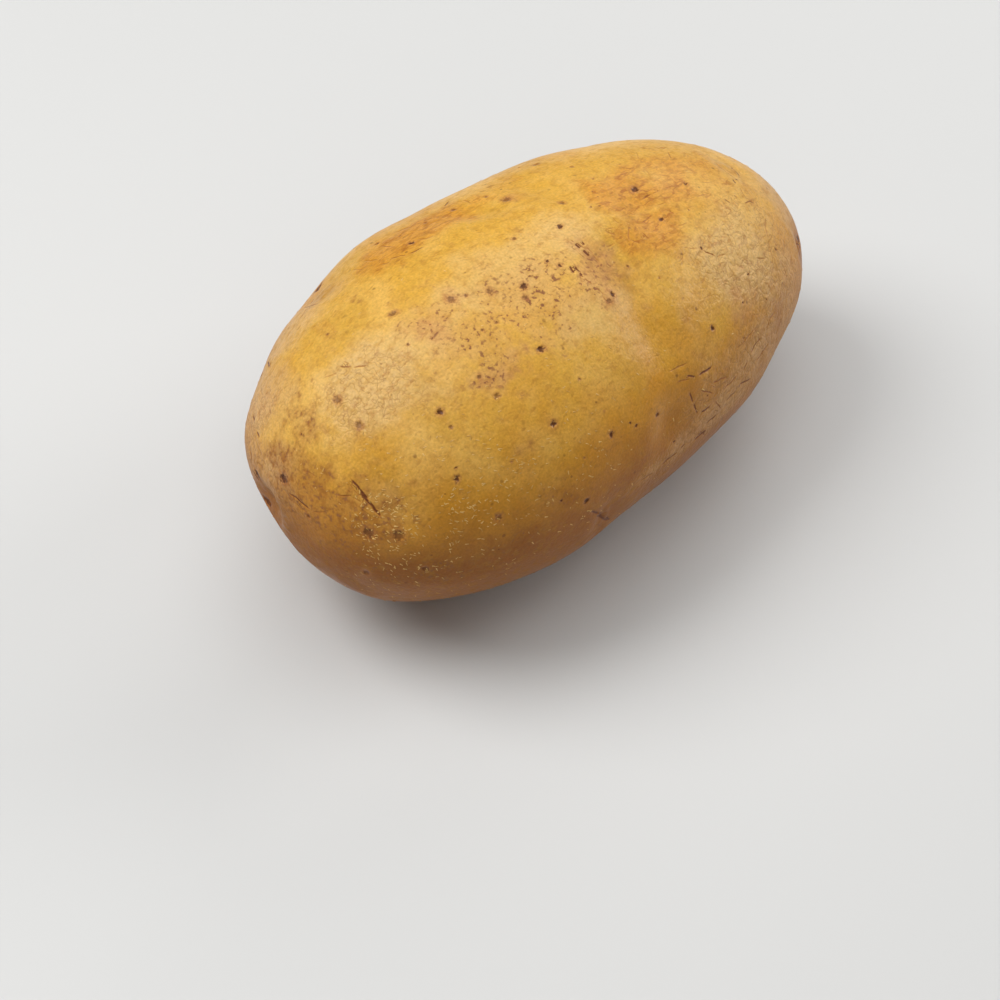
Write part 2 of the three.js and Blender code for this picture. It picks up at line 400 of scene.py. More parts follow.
def path_between(x0, y0, x1, y1):
    """Points on the skin under a slightly wavering line between two pixels."""
    length = math.hypot(x1 - x0, y1 - y0)
    across = ((y0 - y1) / length, (x1 - x0) / length)
    count = max(3, round(length * PIXEL_SIZE / LINE_STEP))
    points = []
    for share in np.linspace(0, 1, count):
        side = WAVER * noise.noise(Vector((x0 + share * length * WAVER_PACE, y0, 0)))
        x = x0 + (x1 - x0) * share + across[0] * side
        y = y0 + (y1 - y0) * share + across[1] * side
        points.append(spot_at_pixel(x, y).point)
    return points


lines = [(path_between(*ends[:4]), ends[4]) for ends in LINES_SEEN]
for (along, turn, across), (spot, _) in zip(EYES, eye_spots):
    if (along, turn) not in SEEN_EYES:
        lines.append((brow_line(spot, across), BROW_LINE_STRENGTH))
print(len(lines), "lines on the skin")

# %% [markdown]
# ## Pores
# The dark dots are lenticels, the pores that the tuber breathes through. Each is a spot of dark cork
# about a millimetre wide, slightly sunk, and many have a paler or pinker ring. They could be drawn at
# random, but the larger ones give this potato its face, so those that the photograph shows are put at
# their own pixels. On the sides that it doesn't show they are drawn by a seeded rule.

# %% Place the pores
DARK_PORES_SEEN = [  # pixel x, pixel y, diameter
    (635, 189, 1.5), (686, 183, 1.1), (662, 219, 1.0), (560, 226, 1.2), (560, 265, 1.0), (547, 261, 0.8),
    (613, 294, 1.2), (702, 248, 0.7), (737, 179, 0.6), (752, 201, 0.6), (777, 249, 0.6), (749, 274, 0.6),
    (660, 277, 0.5), (744, 303, 0.6), (713, 328, 1.1), (745, 338, 0.6), (541, 349, 1.4), (440, 412, 1.4),
    (554, 424, 1.4), (612, 435, 1.3), (658, 415, 1.1), (637, 426, 0.7), (631, 423, 0.5), (675, 442, 0.7),
    (708, 396, 0.5), (457, 479, 1.2), (562, 501, 0.7), (587, 501, 1.3), (283, 479, 2.2), (593, 178, 0.5),
    (593, 190, 0.5), (591, 206, 0.5), (377, 243, 0.9), (411, 242, 1.2), (347, 243, 1.0), (399, 235, 0.7),
    (689, 209, 0.5), (658, 190, 0.5), (630, 227, 0.5), (524, 286, 1.5), (270, 364, 0.7), (301, 434, 0.4),
    (605, 411, 0.4), (767, 299, 0.5), (318, 287, 2.6), (257, 475, 2.2), (267, 502, 2.2), (799, 240, 2.4),
]
BROWN_PORES_SEEN = [
    (393, 313, 1.4), (337, 400, 1.5), (359, 425, 1.5), (490, 291, 1.4), (497, 396, 1.2), (480, 377, 1.0),
    (499, 518, 1.5), (399, 536, 2.4), (369, 534, 2.2), (366, 573, 1.5), (308, 517, 1.0), (425, 569, 1.3),
    (453, 209, 1.2), (506, 199, 1.8), (562, 202, 1.2), (486, 196, 0.8), (536, 164, 1.3), (572, 166, 0.9),
    (514, 238, 0.9), (497, 322, 0.8), (483, 330, 0.7), (451, 299, 1.7), (466, 295, 0.9), (610, 301, 1.3),
    (408, 344, 0.7), (432, 338, 0.6), (525, 297, 1.2), (628, 266, 0.6), (451, 427, 0.7), (512, 462, 0.5),
    (585, 458, 0.5), (638, 488, 0.5), (456, 468, 0.5), (580, 379, 0.6), (327, 334, 0.6), (644, 147, 0.8),
    (663, 147, 0.7), (425, 222, 0.8), (519, 167, 0.7),
]
BROWN_DARKNESS = 0.6
UNSEEN_PORES = 75
UNSEEN_SIZES = (0.6, 1.5)
PORE_SPREAD = 0.47  # how far from the middle they reach, as a share of the length
DARK_SHARE = 0.55  # of the unseen pores
FACING_UNSEEN = 0.12  # how little a spot may face the camera to count as unseen


def faces_camera(spot):
    """How squarely a spot faces the camera, from -1 to 1."""
    return float(spot.outward.dot(np.array((camera.location - Vector(spot.point * MM)).normalized())))


pores = [(spot_at_pixel(x, y), size, 1.0) for x, y, size in DARK_PORES_SEEN]
pores += [(spot_at_pixel(x, y), size, BROWN_DARKNESS) for x, y, size in BROWN_PORES_SEEN]
seen_count = len(pores)
while len(pores) < seen_count + UNSEEN_PORES:
    spot = spot_at_place(chance.uniform(-PORE_SPREAD, PORE_SPREAD) * LENGTH, chance.uniform(0, 360))
    size = chance.triangular(*UNSEEN_SIZES, UNSEEN_SIZES[0])
    darkness = 1.0 if chance.random() < DARK_SHARE else BROWN_DARKNESS
    if faces_camera(spot) < FACING_UNSEEN:
        pores.append((spot, size, darkness))
print(seen_count, "pores seen and", UNSEEN_PORES, "drawn")

# %% [markdown]
# ## Finer triangles where the detail is
# A pore is only two triangles wide so far. Cutting the whole mesh again would make six hundred thousand
# faces, so only the edges near a pore or a line are cut.

# %% Cut the edges near the small things
CUT_MARGIN = 0.55  # how far around a pore or a line the edges are cut


def near_any(points, centres, reach):
    """Which points lie within reach of a centre. reach is one length or one for each centre."""
    reaches = np.broadcast_to(reach, len(centres))
    near = np.zeros(len(points), bool)
    for centre, span in zip(centres, reaches):
        near |= ((points - centre) ** 2).sum(axis=1) < span ** 2
    return near


def cut_near(shape, centres, reach):
    """Cuts in two each edge whose ends both lie within reach of a centre."""
    shape.verts.index_update()
    points = np.array([v.co[:] for v in shape.verts]) / MM
    near = near_any(points, centres, reach)
    chosen = [e for e in shape.edges if near[e.verts[0].index] and near[e.verts[1].index]]
    bmesh.ops.subdivide_edges(shape, edges=chosen, cuts=1, use_grid_fill=True)
    bmesh.ops.triangulate(shape, faces=[f for f in shape.faces if len(f.verts) > 3])


line_points = [point for path, _ in lines for point in path]
pore_points = [spot.point for spot, _, _ in pores]
pore_sizes = np.array([size for _, size, _ in pores])
pore_reaches = pore_sizes / 2 + CUT_MARGIN
line_reaches = np.full(len(line_points), CUT_MARGIN)
cut_near(skin_shape, pore_points + line_points, np.r_[pore_reaches, line_reaches])
bmesh.ops.recalc_face_normals(skin_shape, faces=skin_shape.faces)
skin = linked("potato_skin", bpy.data.meshes.new("potato_skin"))
skin_shape.to_mesh(skin.data)
skin_shape.free()
print(len(skin.data.vertices), "vertices,", len(skin.data.polygons), "faces after the local cuts")

# %% [markdown]
# ## Marks on the skin
# The raised and sunken places and the colours belong together: a scurfy patch is both rough and brown.
# So each kind of place is a mark, a number from 0 to 1 at every vertex, that the relief reads here and
# the material reads later as an attribute. A patch is made of soft blots, longer one way than the other,
# and noise eats into its edge, because nothing on a real skin ends evenly.

# %% Helpers that measure the skin
vertex_count = len(skin.data.vertices)
points = np.empty(vertex_count * 3)
skin.data.vertices.foreach_get("co", points)
points = points.reshape(-1, 3) / MM
normals = np.empty(vertex_count * 3)
skin.data.vertex_normals.foreach_get("vector", normals)
normals = normals.reshape(-1, 3)
BLOT_DEPTH = 12  # how far under its spot a blot still reaches


def fade(distance):
    """Falls smoothly from 1 at 0 to almost nothing at 2."""
    return np.exp(-distance ** 2)


def ramp(values, start, end):
    """Rises smoothly from 0 at start to 1 at end, or falls where start is the larger."""
    share = np.clip((values - start) / (end - start), 0, 1)
    return share * share * (3 - 2 * share)


def cloud(size, offset, octaves=3):
    """Cloudy noise from about -1 to 1 at each vertex, with features of this size."""
    shift = Vector((offset, -offset, offset / 2))
    return np.array([noise.fractal(Vector(point) / size + shift, 0.7, 2.0, octaves) for point in points])


def blot(spot, along, around, tilt=0):
    """A soft blot over the skin, with its half lengths. tilt turns it, in degrees."""
    offset = points - spot.point
    angle = math.radians(tilt)
    ahead = spot.ahead * math.cos(angle) + spot.around * math.sin(angle)
    aside = spot.around * math.cos(angle) - spot.ahead * math.sin(angle)
    shares = (offset @ ahead / along, offset @ aside / around, offset @ spot.outward / BLOT_DEPTH)
    return fade(np.sqrt(sum(share ** 2 for share in shares)))


def patch(size, bite, seen=(), unseen=()):
    """A mark made of blots, with noise of this size biting into it.

    A blot is its strength, its pixel if seen or its place if not, its half lengths and perhaps a tilt.
    """
    mark = np.zeros(vertex_count)
    for find_spot, blots in ((spot_at_pixel, seen), (spot_at_place, unseen)):
        for strength, first, second, *shape in blots:
            mark = np.maximum(mark, strength * blot(find_spot(first, second), *shape))
    return ramp(mark - bite * (0.5 + cloud(size, 3.0 * size)), 0.0, 0.6)


print(vertex_count, "vertices measured")

# %% Patches and clouds
LOW_SIDE_TINT_AND_SHADE = (0.95, 0.30)  # how far up the body faces where the browner, painted-shade lower side starts and is full
# how far up the body faces where the painted shade on the side that faces down starts and is full
UNDERSIDE_SHADE = (0.60, -0.05)
EYE_MARK_ALONG = 0.22  # an eye's blot as shares of its width
EYE_MARK_ACROSS = 0.38

half_sizes = np.array([LENGTH, WIDTH, HEIGHT]) / 2
facings = (points - (0, 0, HEIGHT / 2)) / half_sizes ** 2  # the way out of an ellipsoid, without the dents
facing_up = facings[:, 2] / np.linalg.norm(facings, axis=1)
marks = {
    "straw": ramp(cloud(11.0, 5.0), -0.25, 0.65),
    "olive": ramp(cloud(20.0, 31.0), 0.0, 0.6),
    # The lower side is partly browner skin and partly painted warm shade: the less the skin faces up, the
    # more amber it gets. The two seen blots paint shade over the highlight on a ridge of the near side.
    "low_side_tint_and_shade": np.maximum(ramp(facing_up + 0.20 * cloud(12.0, 77.0), *LOW_SIDE_TINT_AND_SHADE), patch(5.0, 0.2, seen=[
        (0.45, 645, 350, 5, 8), (0.8, 660, 400, 6, 7),
    ])),
    # Painted shade: skin that faces down is darkened to a deep brown, in place of the shadow and warm
    # reflected light below the potato.
    "underside_shade": ramp(facing_up + 0.12 * cloud(9.0, 44.0), *UNDERSIDE_SHADE),
    # Mostly painted highlights: the seen patches make the skin paler where the lamps' highlights fall on the
    # top, the stem side and the rose end. The two unseen patches are paler skin.
    "cream_and_highlight": patch(7.0, 0.3, seen=[
        (0.7, 500, 268, 20, 9), (1.0, 376, 378, 11, 9), (0.8, 560, 235, 9, 7), (1.0, 735, 255, 10, 9),
        (0.7, 590, 310, 8, 6),
    ], unseen=[
        (0.6, 20, 20, 20, 12), (0.6, -30, -20, 16, 12),
    ]),
    "rind": patch(4.0, 0.2, seen=[
        (1.1, 797, 290, 5, 8), (1.1, 787, 325, 5, 7), (1.0, 770, 352, 5, 6), (1.0, 750, 374, 6, 6),
        (1.0, 732, 396, 6, 5), (0.9, 712, 416, 7, 4), (0.8, 684, 444, 8, 3.2), (0.7, 650, 474, 9, 2.6),
        (0.8, 254, 410, 4, 9), (0.8, 250, 455, 4, 6),
    ], unseen=[
        (0.6, 57, -30, 9, 12), (0.5, -57, 40, 9, 9),
    ]),
    "blush": patch(6.0, 0.4, seen=[
        (0.54, 665, 190, 22, 13), (1.0, 625, 196, 8, 6), (1.0, 653, 230, 8, 5), (1.2, 415, 232, 13, 5),
        (0.6, 480, 200, 12, 4),
    ], unseen=[
        (0.6, 30, -60, 14, 8, 20), (0.7, -28, -140, 12, 9),
    ]),
    "scurf": patch(3.5, 0.5, seen=[
        (1.4, 530, 297, 9, 7), (0.9, 480, 335, 10, 5), (0.9, 590, 275, 7, 6), (0.7, 490, 372, 9, 4),
        (0.9, 432, 322, 6, 7), (0.6, 560, 330, 6, 5),
    ], unseen=[
        (0.7, -10, -40, 12, 9), (0.6, 26, -150, 11, 7),
    ]),
    "net": patch(6.0, 0.35, seen=[
        (1.0, 765, 250, 12, 14), (0.9, 735, 370, 13, 7), (0.9, 725, 260, 11, 9), (0.95, 372, 385, 9, 9),
    ], unseen=[
        (0.8, 48, -60, 14, 18), (0.7, 45, 40, 12, 12), (0.5, -35, -110, 14, 12),
    ]),
    "earth": patch(4.0, 0.5, seen=[
        (1.3, 305, 500, 8, 9), (1.1, 345, 525, 9, 6), (1.1, 291, 468, 5, 7), (0.9, 387, 512, 5, 5),
        (1.0, 445, 575, 15, 4), (0.9, 395, 532, 5, 4), (0.7, 500, 550, 12, 4), (0.7, 605, 520, 6, 4),
        (1.0, 345, 560, 9, 4), (0.6, 560, 500, 7, 4), (1.0, 300, 540, 8, 6), (0.8, 345, 580, 10, 4),
        (0.6, 300, 420, 6, 6),
    ], unseen=[
        (0.8, -55, -40, 8, 14), (0.6, -20, -95, 22, 12), (0.6, 50, -140, 9, 10),
    ]),
    # Grey-brown dry skin at the ends, laid along the rims, where its paler colour also paints the pale
    # reflection that skin shows at grazing angles.
    "tan_and_rim_sheen": patch(8.0, 0.35, seen=[
        (1.1, 258, 400, 6, 12), (0.9, 290, 330, 6, 8), (0.8, 268, 475, 5, 9), (0.8, 780, 300, 8, 11),
        (0.8, 780, 200, 7, 9), (1.0, 765, 355, 5, 9), (1.0, 725, 410, 8, 5), (0.8, 665, 465, 9, 4),
    ], unseen=[
        (0.7, 56, 0, 8, 20), (0.6, -52, -10, 8, 14),
    ]),
    "bruise": patch(2.5, 0.45, seen=[
        (1.1, 583, 247, 3, 4), (1.0, 594, 272, 4, 3), (1.0, 608, 292, 2.5, 3), (0.8, 452, 296, 2, 2.5),
        (0.9, 430, 330, 3, 5), (0.7, 500, 375, 5, 2.5), (0.7, 525, 350, 5, 2), (0.8, 506, 199, 2.5, 2.5),
        (0.8, 740, 300, 5, 5),
    ], unseen=[
        (0.7, 20, -170, 4, 5),
    ]),
    "eye": patch(2.0, 0.4, unseen=[
        (1.0, along, turn, across * EYE_MARK_ALONG, across * EYE_MARK_ACROSS) for along, turn, across in EYES
    ]),
    "scar": blot(scar_spot, SCAR_RADIUS * 1.2, SCAR_RADIUS * 1.2),
}
for name, values in marks.items():
    print(f"{name}: {100 * (values > 0.3).mean():.1f}% of the vertices")

# %% [markdown]
# ## Sharp marks from distances
# A pore's edge is sharper than the triangles are. A mark of 0s and 1s would show them as teeth, but a
# distance can be drawn out evenly between three corners. So each vertex gets its distance from the
# nearest pore, in the pore's own radii, and its distance from the nearest line, with a sign that tells
# the line's two sides apart. The material then cuts both off sharply, wherever it likes.

# %% Measure the distances from pores and lines
FAR = 3.0  # the distance that stands for no pore or line near, in radii or millimetres
PORE_STRETCH = 1.35
LINE_REACH = 1.5
TAPER_SHARE = 0.25  # of a line's length, at each end

pore_away = np.full(vertex_count, FAR)
pore_darkness = np.zeros(vertex_count)
for spot, size, darkness in pores:
    heading = chance.uniform(0, math.pi)
    stretch = chance.uniform(1.0, PORE_STRETCH)
    offset = points - spot.point
    long_way = spot.ahead * math.cos(heading) + spot.around * math.sin(heading)
    offset -= np.outer(offset @ long_way, long_way) * (1 - 1 / stretch)
    away = np.sqrt((offset ** 2).sum(axis=1)) / (size / 2)
    nearer = away < pore_away
    pore_away[nearer] = away[nearer]
    pore_darkness[nearer] = darkness

line_side = np.full(vertex_count, FAR)
line_strength = np.zeros(vertex_count)
for path, strength in lines:
    path = np.array(path)
    centre = path.mean(axis=0)
    reach = np.linalg.norm(path - centre, axis=1).max() + LINE_REACH
    near = np.flatnonzero(np.linalg.norm(points - centre, axis=1) < reach)
    to_path = points[near, None, :] - path[None, :, :]
    closest = (to_path ** 2).sum(axis=2).argmin(axis=1)
    offset = to_path[np.arange(len(near)), closest]
    tangents = np.gradient(path, axis=0)
    tangents /= np.linalg.norm(tangents, axis=1)[:, None]
    tangent = tangents[closest]
    sideways = np.cross(normals[near], tangent)
    side = (offset * sideways).sum(axis=1)
    step = np.linalg.norm(path[1] - path[0])
    share = (closest + (offset * tangent).sum(axis=1) / step) / (len(path) - 1)
    taper = ramp(share, 0, TAPER_SHARE) * ramp(share, 1, 1 - TAPER_SHARE)
    nearer = (abs(side) < abs(line_side[near])) & (taper > 0) & (abs(side) < LINE_REACH)
    line_side[near[nearer]] = side[nearer]
    line_strength[near[nearer]] = strength * taper[nearer]
print(f"{(pore_away < 1).sum()} vertices in pores, {(line_strength > 0).sum()} near lines")

# %% [markdown]
# ## Relief
# The skin is never smooth. There is a gentle leathery waviness all over, stronger in the netted and
# scurfy patches, where the cork has cracked into small pillows. The pores are pits with a faint rim,
# and the lines are grooves. All of it is a height along the normal, added up at each vertex, because
# the shapes overlap and follow the marks. Depths are a few tenths of a millimetre.

# %% Raise and dent the skin
WAVINESS = [(9.0, 0.10), (3.5, 0.04), (1.6, 0.02)]  # size and height of each wave
PILLOW_SIZE = 3.0
PILLOW_HEIGHT = 0.14
PILLOW_WARP = 0.35
PILLOW_EDGE = 0.45  # how much of a pillow is its slope
GRAIN_SIZE = 1.1
GRAIN_HEIGHT = 0.06
PORE_DEPTH = 0.14
PORE_RIM = 0.04
LINE_DEPTH = 0.13
LINE_HALF_WIDTH = 0.28
BUD_HEIGHT = 0.3
SCAR_ROUGHNESS = 0.35
INSET = 0.12  # keeps the highest relief inside the solid's box
CONTACT_BLEND = 0.6  # the relief fades out this near to the floor


def pillows(size):
    """A height from 0 in the cracks to 1 on the cells between them, at each vertex."""
    heights = np.empty(vertex_count)
    for index, point in enumerate(points):
        place = Vector(point) / size
        place += PILLOW_WARP * noise.noise_vector(place * 1.3)
        distances, _ = noise.voronoi(place)
        heights[index] = distances[1] - distances[0]
    return np.clip(heights / PILLOW_EDGE, 0, 1)


relief = np.full(vertex_count, -INSET)
for number, (size, height) in enumerate(WAVINESS):
    relief += height * cloud(size, 10.0 * number, 1)
rough = np.clip(marks["net"] + 0.4 * marks["earth"] + 0.3 * marks["tan_and_rim_sheen"] + 0.5 * marks["rind"], 0, 1)
relief += PILLOW_HEIGHT * rough * (pillows(PILLOW_SIZE) - 0.6)
grainy = np.clip(marks["scurf"] + 0.7 * marks["earth"] + 0.4 * marks["blush"], 0, 1)
relief += GRAIN_HEIGHT * grainy * cloud(GRAIN_SIZE, 55.0, 2)
relief -= PORE_DEPTH * pore_darkness * ramp(pore_away, 0.95, 0.3)
relief += PORE_RIM * fade((pore_away - 1.2) / 0.4)
relief -= LINE_DEPTH * line_strength * fade(line_side / LINE_HALF_WIDTH)
for bud, radius in buds:
    relief += BUD_HEIGHT * fade(np.linalg.norm(points - bud, axis=1) / radius)
relief += SCAR_ROUGHNESS * marks["scar"] * cloud(1.3, 91.0, 2)

off_floor = np.clip(points[:, 2] / CONTACT_BLEND, 0, 1)
moved = points + normals * (relief * off_floor)[:, None]
moved = np.clip(moved, np.array(cad_low) / MM, np.array(cad_high) / MM)
skin.data.vertices.foreach_set("co", (moved * MM).ravel())
skin.data.shade_smooth()
measures = {"pore_away": pore_away, "pore_darkness": pore_darkness}
measures |= {"line_side": line_side, "line_strength": line_strength}
for name, values in (marks | measures).items():
    attribute = skin.data.attributes.new(name, "FLOAT", "POINT")
    attribute.data.foreach_set("value", values.astype(np.float32))
skin.data.update()
print(f"relief from {relief.min():.2f} to {relief.max():.2f} mm")

# %% [markdown]
# ## Helpers for materials
# A material is a tree of small nodes. These helpers add one node with its settings and links, and a
# few common steps: a smooth step between two values, a sum, and one colour laid over another by a mask.

# %% Helpers that add nodes
def fill_sockets(tree, node, sockets):
    """Sets a node's inputs, each to a value or to the output that feeds it."""
    for socket, value in sockets.items():
        if isinstance(value, bpy.types.NodeSocket):
            tree.links.new(value, node.inputs[socket])
        else:
            node.inputs[socket].default_value = value
    return node


def add_node(tree, kind, sockets=None, **settings):
    """A node of this kind with its settings and inputs."""
    node = tree.nodes.new(kind)
    for name, value in settings.items():
        setattr(node, name, value)
    return fill_sockets(tree, node, sockets or {})


def calc(operation, first, second=0.0, clamp=False):
    """The result of a sum on one or two values, at least one of them an output of a node."""
    outputs = [value for value in (first, second) if isinstance(value, bpy.types.NodeSocket)]
    tree = outputs[0].id_data  # the tree that the output's node is in
    sockets = {0: first, 1: second}
    return add_node(tree, "ShaderNodeMath", sockets, operation=operation, use_clamp=clamp).outputs[0]


def times(first, second):
    """The product of two masks."""
    return calc("MULTIPLY", first, second)


def step_between(value, start, end):
    """Rises smoothly from 0 at start to 1 at end, or falls where start is the larger."""
    sockets = {"Value": value, "From Min": start, "From Max": end}
    node = add_node(value.id_data, "ShaderNodeMapRange", sockets, interpolation_type="SMOOTHSTEP")
    return node.outputs["Result"]


def lay_over(below, above, mask):
    """The colour above laid over the colour below where the mask is 1."""
    sockets = {0: mask, 6: below, 7: above}
    return add_node(mask.id_data, "ShaderNodeMix", sockets, data_type="RGBA").outputs[2]


def in_millimetres(tree, stretch=(1, 1, 1)):
    """The object's own coordinates in millimetres, drawn out by stretch."""
    raw = tree.nodes.new("ShaderNodeTexCoord").outputs["Object"]
    scale = [1 / (MM * share) for share in stretch]
    return add_node(tree, "ShaderNodeMapping", {"Vector": raw, "Scale": scale}).outputs[0]


def cloudy(place, size, detail):
    """Noise from 0 to 1 with features of this size. size and detail are values or outputs."""
    scale = 1 / size if isinstance(size, float) else calc("DIVIDE", 1.0, size)
    sockets = {"Vector": place, "Scale": scale, "Detail": detail}
    return add_node(place.id_data, "ShaderNodeTexNoise", sockets).outputs[0]


def new_group(name, inputs, outputs):
    """An empty node group with these sockets, and its input and output nodes."""
    group = bpy.data.node_groups.new(name, "ShaderNodeTree")
    for socket, kind in inputs.items():
        group.interface.new_socket(socket, in_out="INPUT", socket_type=kind)
    for socket, kind in outputs.items():
        group.interface.new_socket(socket, in_out="OUTPUT", socket_type=kind)
    return group, group.nodes.new("NodeGroupInput").outputs, group.nodes.new("NodeGroupOutput").inputs


def use_group(tree, group, sockets):
    """The outputs of a node that holds a group, with its inputs set."""
    node = tree.nodes.new("ShaderNodeGroup")
    node.node_tree = group
    return fill_sockets(tree, node, sockets).outputs


VECTOR = "NodeSocketVector"
VALUE = "NodeSocketFloat"
print("helpers ready")

# %% [markdown]
# ## Mottling
# Skin colour drifts: lighter and darker clouds of every size. The group turns noise of a given size
# into a soft mask, and Start and End set how much of the skin it covers. A group is built once and
# then used many times with other values, like a stamp.

# %% The mottle group
mottle, given, result = new_group(
    "mottle",
    {"Place": VECTOR, "Size": VALUE, "Detail": VALUE, "Start": VALUE, "End": VALUE},
    {"Mask": VALUE},
)
haze = cloudy(given["Place"], given["Size"], given["Detail"])
mottle.links.new(step_between(haze, given["Start"], given["End"]), result["Mask"])
print("group:", mottle.name)

# %% [markdown]
# ## Curly strokes
# In the orange patches the cork has split into short curling strokes. The line where a noise passes
# its middle value is a curl, so the group keeps a thin band around that value and breaks it up with a
# second noise.

# %% The curly stroke group
curls, given, result = new_group(
    "curly strokes",
    {"Place": VECTOR, "Size": VALUE, "Width": VALUE, "Share": VALUE},
    {"Mask": VALUE},
)
swirl = cloudy(given["Place"], given["Size"], 2.0)
from_middle = calc("ABSOLUTE", calc("SUBTRACT", swirl, 0.5))
band = step_between(from_middle, given["Width"], 0.0)
breaks = cloudy(given["Place"], calc("MULTIPLY", given["Size"], 0.7), 1.0)
threshold = calc("SUBTRACT", 1.0, given["Share"])
kept = step_between(breaks, threshold, calc("ADD", threshold, 0.08))
curls.links.new(times(band, kept), result["Mask"])
print("group:", curls.name)

# %% [markdown]
# ## Wrinkles
# As the tuber swells, old cork cracks into a net of fine wrinkles with small pillows between. The same
# trick as for the curls gives a valley wherever a noise passes its middle value. Two such noises cross
# each other, and the lower of the two is a net. Its height goes to the bump, and its floor, where the
# cracks are dark, to the colour.

# %% The wrinkle group
VALLEY_DEPTH = 0.09  # the share of the noise's range that a valley takes up on each side

wrinkles, given, result = new_group(
    "wrinkles",
    {"Place": VECTOR, "Size": VALUE, "Crack": VALUE},
    {"Height": VALUE, "Crack": VALUE},
)
valleys = []
for turn in ((0.0, 0.0, 0.0), (0.9, 0.4, 1.3)):
    sockets = {"Vector": given["Place"], "Rotation": turn}
    turned = add_node(wrinkles, "ShaderNodeMapping", sockets).outputs[0]
    wave = cloudy(turned, given["Size"], 2.5)
    valleys.append(calc("ABSOLUTE", calc("SUBTRACT", wave, 0.5)))
lower = calc("MINIMUM", *valleys)
wrinkles.links.new(calc("DIVIDE", lower, VALLEY_DEPTH, clamp=True), result["Height"])
wrinkles.links.new(step_between(lower, given["Crack"], 0.0), result["Crack"])
print("group:", wrinkles.name)

# %% [markdown]
# ## Freckles
# Besides the large pores there are hundreds of tiny ones. Each Voronoi cell may hold one dot. The cell's
# random colour decides whether it does, how large the dot is and how dark.

# %% The freckle group
freckles, given, result = new_group(
    "freckles",
    {"Place": VECTOR, "Spacing": VALUE, "Size": VALUE, "Share": VALUE},
    {"Mask": VALUE},
)
scale = calc("DIVIDE", 1.0, given["Spacing"])
dots = add_node(freckles, "ShaderNodeTexVoronoi", {"Vector": given["Place"], "Scale": scale})
from_dot = calc("MULTIPLY", dots.outputs["Distance"], given["Spacing"])
draws = add_node(freckles, "ShaderNodeSeparateColor", {0: dots.outputs["Color"]}).outputs
dot_size = times(given["Size"], calc("ADD", draws[0], 0.5))
dot = step_between(from_dot, dot_size, times(dot_size, 0.4))
there = calc("LESS_THAN", draws[1], given["Share"])
darkness = calc("ADD", times(draws[2], 0.7), 0.3)
freckles.links.new(times(times(dot, there), darkness), result["Mask"])
print("group:", freckles.name)

# %% [markdown]
# ## The skin's material
# The colours are laid one over another: gold, with clouds of straw and olive, an amber lower side that is
# partly browner skin and partly painted warm shade, the orange blush, pale patches that are mostly painted
# highlights, grey-brown at the ends that also paints a pale reflection along the rims, the dry rind and a
# deep brown painted shade on the side that faces down, then the pinkish scurf, bruises and earth stains,
# then strokes, cracks and dots, and last the eyes, the pores and the lines. The same masks set how dull
# each place is and drive a fine bump.

# %% Colours of the skin
GOLD = (0.65, 0.355, 0.050, 1)
STRAW = (0.74, 0.44, 0.105, 1)
OLIVE = (0.57, 0.31, 0.035, 1)
# browner skin of the lower side, mixed with painted warm shade
AMBER_TINT_AND_SHADE = (0.56, 0.205, 0.006, 1)
# painted shade for the side that faces down
UNDERSIDE_SHADE_BROWN = (0.27, 0.074, 0.003, 1)
# mostly painted highlight, paler than the skin
CREAM_AND_HIGHLIGHT = (0.70, 0.455, 0.165, 1)
RIND_GREY = (0.62, 0.37, 0.175, 1)
OCHRE = (0.45, 0.205, 0.022, 1)
ORANGE = (0.60, 0.235, 0.018, 1)
RUST = (0.34, 0.105, 0.012, 1)
PINK_TAN = (0.58, 0.305, 0.11, 1)
PINK_BROWN = (0.26, 0.105, 0.040, 1)
# grey-brown of dry skin; laid along the rims it also paints a pale reflection
GREY_TAN = (0.62, 0.38, 0.155, 1)
EARTH = (0.31, 0.115, 0.022, 1)
CRACK_BROWN = (0.28, 0.115, 0.022, 1)
PORE_BROWN = (0.095, 0.026, 0.008, 1)
SPECK_BROWN = (0.37, 0.155, 0.022, 1)
HALO_BROWN = (0.42, 0.165, 0.050, 1)
BRUISE_PINK = (0.47, 0.205, 0.105, 1)
CREASE_RED = (0.20, 0.055, 0.012, 1)
LINE_BROWN = (0.095, 0.026, 0.008, 1)

skin_material = bpy.data.materials.new("potato skin")
skin_material.use_nodes = True
tree = skin_material.node_tree
shader = tree.nodes["Principled BSDF"]
place = in_millimetres(tree)
along_place = in_millimetres(tree, (2.2, 1, 1))


def mottled(size, start, end, detail=1.0, where=place):
    """A soft mask of this size in the skin's material."""
    sockets = {"Place": where, "Size": size, "Detail": detail, "Start": start, "End": end}
    return use_group(tree, mottle, sockets)["Mask"]


def stored(name):
    """A mark or a distance that the skin's vertices hold."""
    return add_node(tree, "ShaderNodeAttribute", attribute_name=name).outputs["Fac"]


def cover(below, coats):
    """Coats laid one after another: each a colour, the mask of where it lies, and its share at most."""
    for above, mask, share in coats:
        below = lay_over(below, above, times(mask, share))
    return below


grain = cloudy(place, 0.42, 1.0)
dark_cloud = mottled(1.5, 0.45, 0.72, 2.0)
light_cloud = mottled(1.9, 0.50, 0.75, 2.0)

patchy = calc("ADD", times(dark_cloud, 0.6), 0.4)

# The painted shade on the side that faces down is lighter where the rind is.
off_rind = calc("SUBTRACT", 1.0, times(stored("rind"), 0.5))
low_shade_brown = times(stored("underside_shade"), off_rind)

